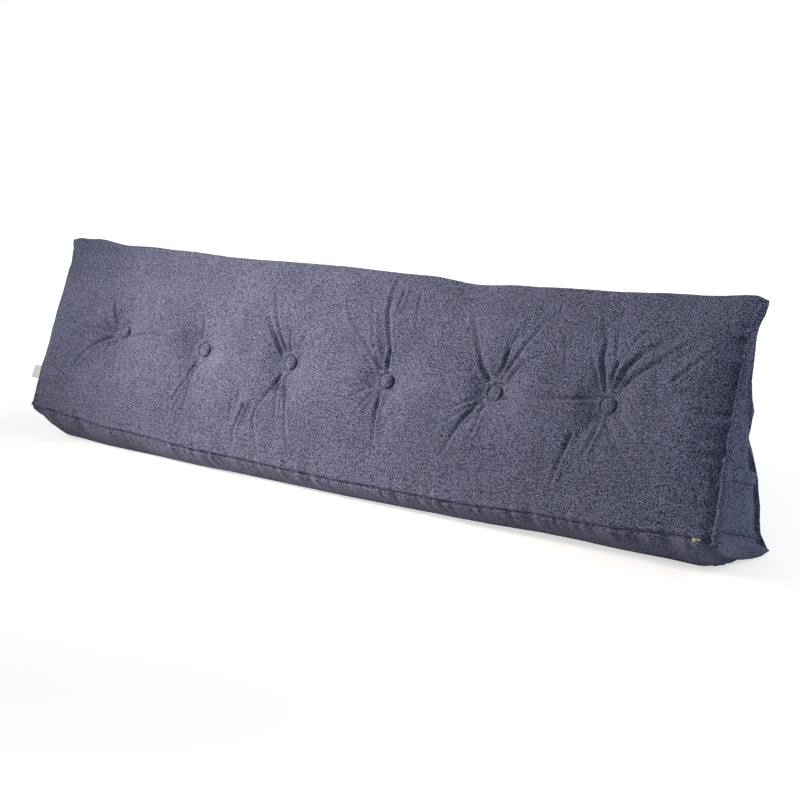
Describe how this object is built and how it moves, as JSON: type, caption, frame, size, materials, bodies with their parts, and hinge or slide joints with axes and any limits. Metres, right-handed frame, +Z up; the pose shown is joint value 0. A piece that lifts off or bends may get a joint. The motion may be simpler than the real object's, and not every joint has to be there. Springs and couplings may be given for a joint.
{
  "type": "wedge backrest pillow",
  "caption": "Long wedge backrest pillow in boucle cloth: sloped buttoned face, upright back, filled base, pocket on one end panel.",
  "frame": {"origin": "on the ground, on the flat of the base, midway between the ends of the sewn cover and midway through its sewn depth", "axes": "+X along the pillow to the end with the pocket, -Y the way the buttoned face looks, +Z up"},
  "size_m": [2.0437, 0.2255, 0.5141],
  "materials": {
    "boucle_cloth": "slate blue boucle, matt, small looped nubs 3 to 5 mm apart",
    "zip_brass": "polished brass",
    "label_tape": "blank white satin tape"
  },
  "bodies": {
    "root": {"cushion": "boucle_cloth", "button_1": "boucle_cloth", "button_2": "boucle_cloth", "button_3": "boucle_cloth", "button_4": "boucle_cloth", "button_5": "boucle_cloth", "button_6": "boucle_cloth", "pocket": "boucle_cloth", "zip_slider": "zip_brass", "zip_pull": "zip_brass", "label": "label_tape"}
  },
  "joints": []
}
